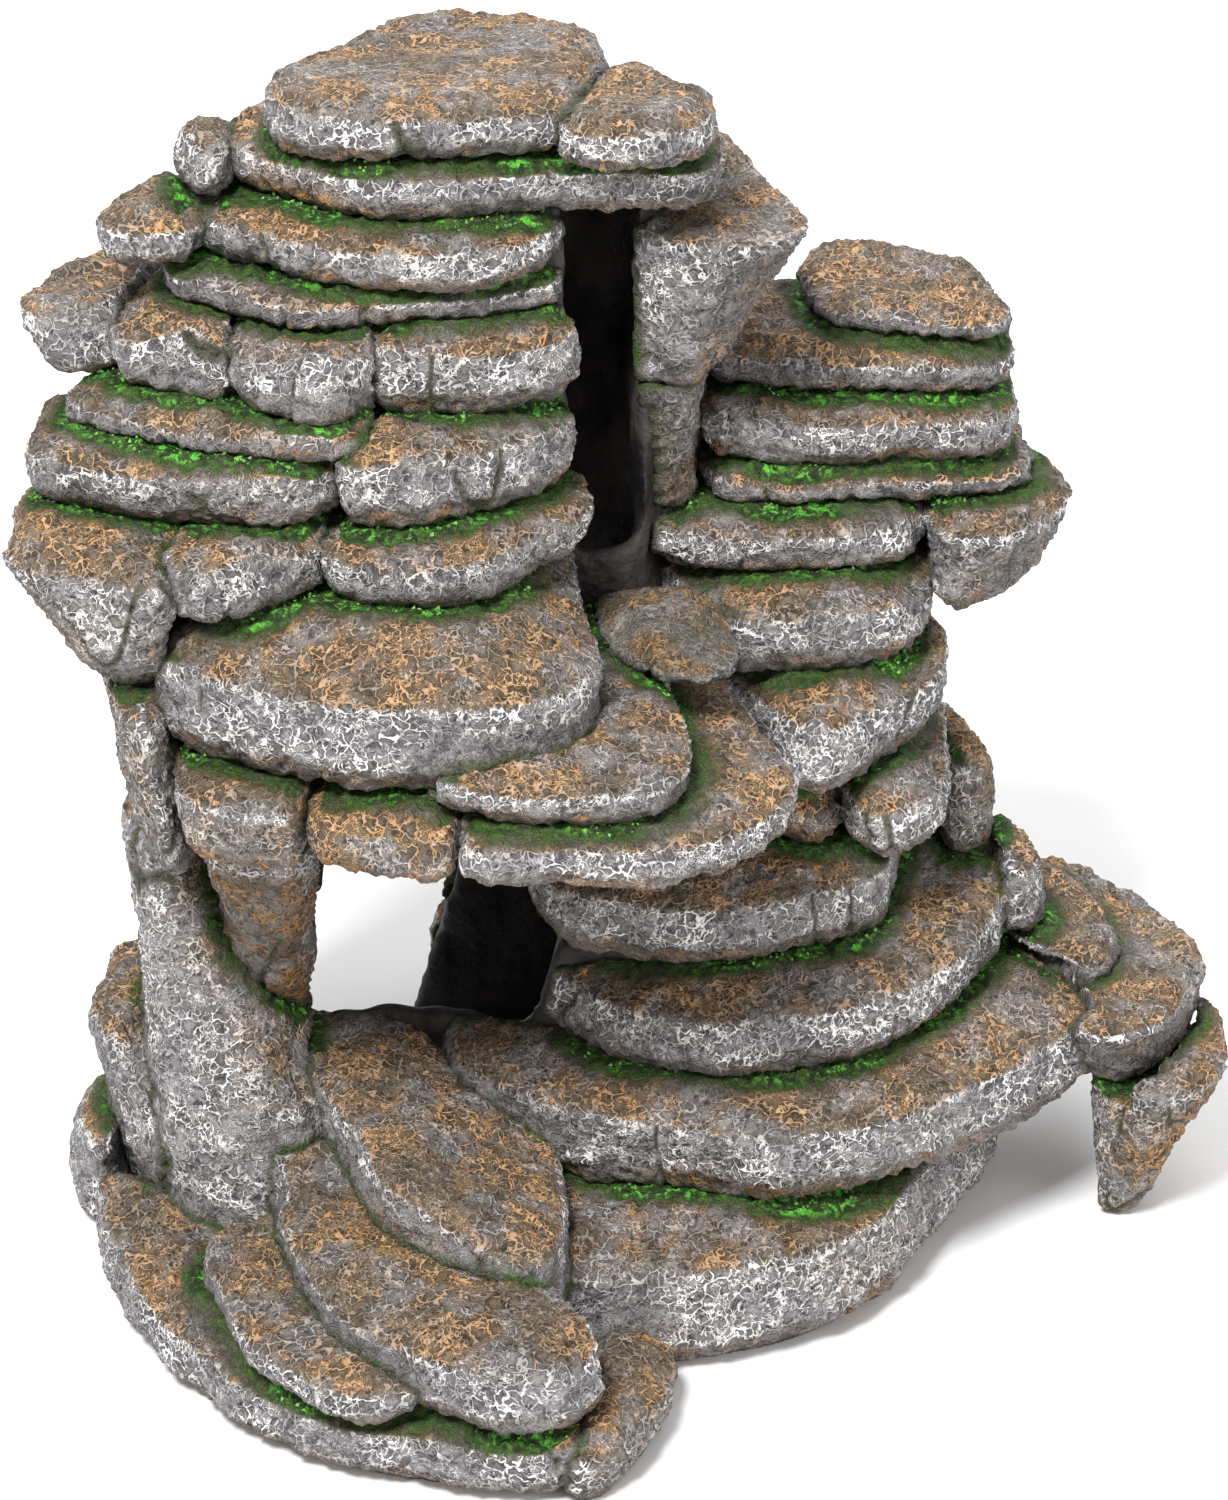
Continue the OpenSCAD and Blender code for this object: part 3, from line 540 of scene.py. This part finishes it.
def mossed(p, body, patch, masks):
    """Olive painted shade, partly moss stain, where the shade mask is high, and near black in the tightest
    joints and cracks; then patchy moss with bright spots.
    """
    moss, shade = masks["moss"], masks["shade"]
    # Painted shade: olive over the shaded places, near black where the shade mask is highest
    body = p.mix(p.math("MULTIPLY", p.ramp(shade, 0.20, 0.85), 0.70), body, OLIVE)
    body = p.mix(p.ramp(shade, 0.90, 1.0, 0.0, 0.85), body, CREVICE)
    fuzz = p.noise(430, detail=3, distortion=0.6)
    growth = p.math("ADD", p.math("MULTIPLY", moss, 0.8), p.math("MULTIPLY", patch, 0.9))
    growth = p.math("ADD", growth, p.math("MULTIPLY", fuzz, 1.3))
    growth = p.math("MULTIPLY", p.ramp(growth, 1.20, 1.50), p.ramp(moss, 0.02, 0.30))
    bright = p.math("MULTIPLY", p.ramp(fuzz, 0.53, 0.60), p.ramp(moss, 0.45, 0.90))
    bright = p.math("MULTIPLY", bright, p.ramp(patch, 0.38, 0.52))
    green = p.mix(bright, p.mix(p.ramp(fuzz, 0.40, 0.54), MOSS_DARK, MOSS_GREEN), MOSS_BRIGHT)
    return p.mix(growth, body, green)


def painted_resin(name, ochre_bias):
    """Cast resin painted as slate: grey, brown wash, ochre, white dry brush and moss stain."""
    p = Paint(name)
    masks = {key: p.mask(key) for key in ("moss", "shade", "shelf", "foot", "edge", "ridge", "under")}
    broad = p.noise(24, detail=2)
    patch = p.noise(75, detail=3)
    fine = p.noise(700, detail=4, rough=0.65)
    pits = p.noise(330, detail=2)
    lines, halo = brush_lines(p)
    height = p.math("ADD", p.math("MULTIPLY", lines, 0.75), p.math("MULTIPLY", fine, 0.5))
    height = p.math("ADD", height, p.math("MULTIPLY", pits, 0.9))
    p.bump(height, 1.3 * MM, 0.9)

    hollows = p.ramp(height, 0.54, 0.80)
    hollows = p.math("MULTIPLY", hollows, p.math("SUBTRACT", 1.0, p.math("MULTIPLY", halo, 0.55)))
    warm = warm_amount(p, ochre_bias, broad, patch, masks)
    body = grey_stone(p, hollows, broad, masks["ridge"])
    body = washed(p, body, warm, hollows, lines, masks["shade"])
    body = dry_brushed(p, body, warm, lines, patch, fine, masks)
    body = mossed(p, body, patch, masks)
    p.feed(p.shader.inputs["Base Color"], body)
    p.feed(p.shader.inputs["Roughness"], p.ramp(fine, 0.3, 0.7, 0.60, 0.85))
    p.shader.inputs["Specular IOR Level"].default_value = 0.35
    return p.material


def shaded_inner_resin(name):
    """Inner face of the casting, coloured very dark as painted shade of the cave's inside."""
    p = Paint(name)
    cloud = p.noise(45, detail=4)
    fine = p.noise(420, detail=3)
    body = p.mix(p.ramp(cloud, 0.38, 0.66), INNER_SHADE_DARK, INNER_SHADE_LIGHT)
    p.feed(p.shader.inputs["Base Color"], body)
    p.feed(p.shader.inputs["Roughness"], p.ramp(cloud, 0.3, 0.7, 0.55, 0.8))
    p.bump(p.math("ADD", fine, p.noise(150, detail=3)), 1.2 * MM, 0.8)
    return p.material


def flock(name):
    """Nylon moss flock: bright and dark green fibres."""
    p = Paint(name)
    tint = p.noise(160, detail=2)
    body = p.mix(p.ramp(tint, 0.40, 0.62), FLOCK_DARK, FLOCK_BRIGHT)
    p.feed(p.shader.inputs["Base Color"], body)
    p.shader.inputs["Roughness"].default_value = 0.9
    p.shader.inputs["Sheen Weight"].default_value = 0.3
    p.bump(p.noise(900, detail=2), 0.4 * MM, 0.5)
    return p.material


MATERIALS = {
    "rock_grey": painted_resin("painted_resin_grey", 0.0),
    "rock_ochre": painted_resin("painted_resin_ochre", 0.42),
    "cave_inner": shaded_inner_resin("shaded_inner_resin"),
    "moss_flock": flock("moss_flock"),
}


# ---- pieces -----------------------------------------------------------------------


def add_piece(name, mesh, slot):
    """Puts a finished mesh in the scene as a piece that rides on the ornament."""
    mesh.polygons.foreach_set("use_smooth", np.ones(len(mesh.polygons), bool))
    mesh.materials.append(MATERIALS[slot])
    piece = bpy.data.objects.new(name, mesh)
    bpy.context.scene.collection.objects.link(piece)
    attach(piece, "root")
    return piece


moss_spots = []


def gather_moss_spots(mesh):
    """Keeps the places and normals where moss is thick, for the tufts."""
    moss = np.empty(len(mesh.vertices), np.float32)
    mesh.attributes["moss"].data.foreach_get("value", moss)
    places, _ = mesh_arrays(mesh)
    normals = vertex_normals(mesh)
    thick = moss > THICK_MOSS
    patchy = noise(places, 18 * MM, TUFT_SEED) > 0.02
    chosen = thick & patchy
    moss_spots.append(np.concatenate([places[chosen], normals[chosen], moss[chosen, None]], 1))


def tuft_mesh():
    """Thousands of tiny crumpled flock flakes along the crevices, as one mesh."""
    random = np.random.default_rng(SEED)
    spots = np.concatenate(moss_spots)
    weights = spots[:, 6] ** 2
    count = min(TUFTS, len(spots))
    picked = random.choice(len(spots), size=count, replace=False, p=weights / weights.sum())
    places, faces = [], []
    corners = np.array([(1, 0, 0), (-0.5, 0.87, 0), (-0.5, -0.87, 0), (0, 0, 1), (0, 0, -0.6)])
    shell = [(0, 1, 3), (1, 2, 3), (2, 0, 3), (1, 0, 4), (2, 1, 4), (0, 2, 4)]
    for index in picked:
        centre, normal = spots[index, :3], spots[index, 3:6]
        size = random.uniform(FLAKE_SMALL, FLAKE_LARGE)
        turn = np.linalg.qr(random.normal(size=(3, 3)))[0]
        jitter = random.uniform(0.6, 1.4, size=(5, 1))
        flake = corners * jitter * [1, 0.7, 0.8] @ turn * size
        start = len(places)
        places += list(keep_inside(flake + centre + normal * 0.25 * size))
        faces += [tuple(start + i for i in face) for face in shell]
    mesh = bpy.data.meshes.new("moss_tufts")
    mesh.from_pydata(places, [], faces)
    mesh.validate()
    return mesh


for number, node in enumerate(sorted(nodes)):
    slot = slot_of[node]
    if slot == "cave_inner":
        mesh = make_lining(node, number)
    else:
        mesh = make_rock(node, number)
        gather_moss_spots(mesh)
    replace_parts(add_piece(node + "_cast", mesh, slot), node)

add_piece("moss_tufts", tuft_mesh(), "moss_flock")


# ---- studio -----------------------------------------------------------------------


def stage_floor():
    """A wide pale floor that curves up behind."""
    half, depth, rise, bend, steps = 3.0, 2.2, 2.4, 0.9, 14
    profile = [(-half, 0.0), (depth - bend, 0.0)]
    for i in range(1, steps + 1):
        angle = math.pi / 2 * i / steps
        profile.append((depth - bend + bend * math.sin(angle), bend * (1 - math.cos(angle))))
    profile.append((depth, rise))
    places = [(x, y, z) for y, z in profile for x in (-half, half)]
    faces = [(2 * i, 2 * i + 1, 2 * i + 3, 2 * i + 2) for i in range(len(profile) - 1)]
    mesh = bpy.data.meshes.new("studio_floor")
    mesh.from_pydata(places, [], faces)
    p = Paint("studio_paper")
    grain = p.ramp(p.noise(3, detail=2), 0.3, 0.7, 0.90, 0.94)
    p.feed(p.shader.inputs["Base Color"], p.mix(grain, (0.80, 0.80, 0.80, 1), (0.93, 0.93, 0.93, 1)))
    p.shader.inputs["Roughness"].default_value = 0.9
    mesh.materials.append(p.material)
    floor = bpy.data.objects.new("studio_floor", mesh)
    bpy.context.scene.collection.objects.link(floor)


def area_light(name, place, target, size, power):
    """A round white lamp at a place, aimed at a target."""
    lamp = bpy.data.lights.new(name, "AREA")
    lamp.shape = "DISK"
    lamp.size = size
    lamp.energy = power
    light = bpy.data.objects.new(name, lamp)
    light.location = place
    light.rotation_euler = (Vector(target) - Vector(place)).to_track_quat("-Z", "Y").to_euler()
    bpy.context.scene.collection.objects.link(light)


def studio():
    """Three lamps round the ornament in an even white world."""
    middle = (Vector(cad_low) + Vector(cad_high)) / 2
    area_light("key", (-0.55, -1.1, 1.9), middle, 0.6, 58)
    area_light("fill", (1.5, -1.2, 0.7), middle, 1.2, 10)
    area_light("back", (0.2, 1.2, 1.6), middle, 1.2, 14)
    world = bpy.data.worlds.new("studio_world")
    world.use_nodes = True
    sky = world.node_tree.nodes["Background"]
    sky.inputs["Color"].default_value = (1, 1, 1, 1)
    sky.inputs["Strength"].default_value = 0.60
    bpy.context.scene.world = world


def camera():
    """Looks along +Y from 27 degrees above, 1.07 m from a point near the ornament's middle."""
    elevation = math.radians(27)
    distance = 1.07
    middle = (Vector(cad_low) + Vector(cad_high)) / 2
    target = middle + Vector((-7.1, -46.1, 10)) * MM
    lens = bpy.data.cameras.new("camera")
    lens.lens = 108.36
    lens.sensor_width = 36
    lens.clip_start = 0.01
    eye = bpy.data.objects.new("camera", lens)
    eye.location = target + Vector((0, -math.cos(elevation), math.sin(elevation))) * distance
    eye.rotation_euler = (target - eye.location).to_track_quat("-Z", "Y").to_euler()
    bpy.context.scene.collection.objects.link(eye)
    bpy.context.scene.camera = eye


stage_floor()
studio()
camera()
bpy.context.scene.view_settings.view_transform = "Standard"
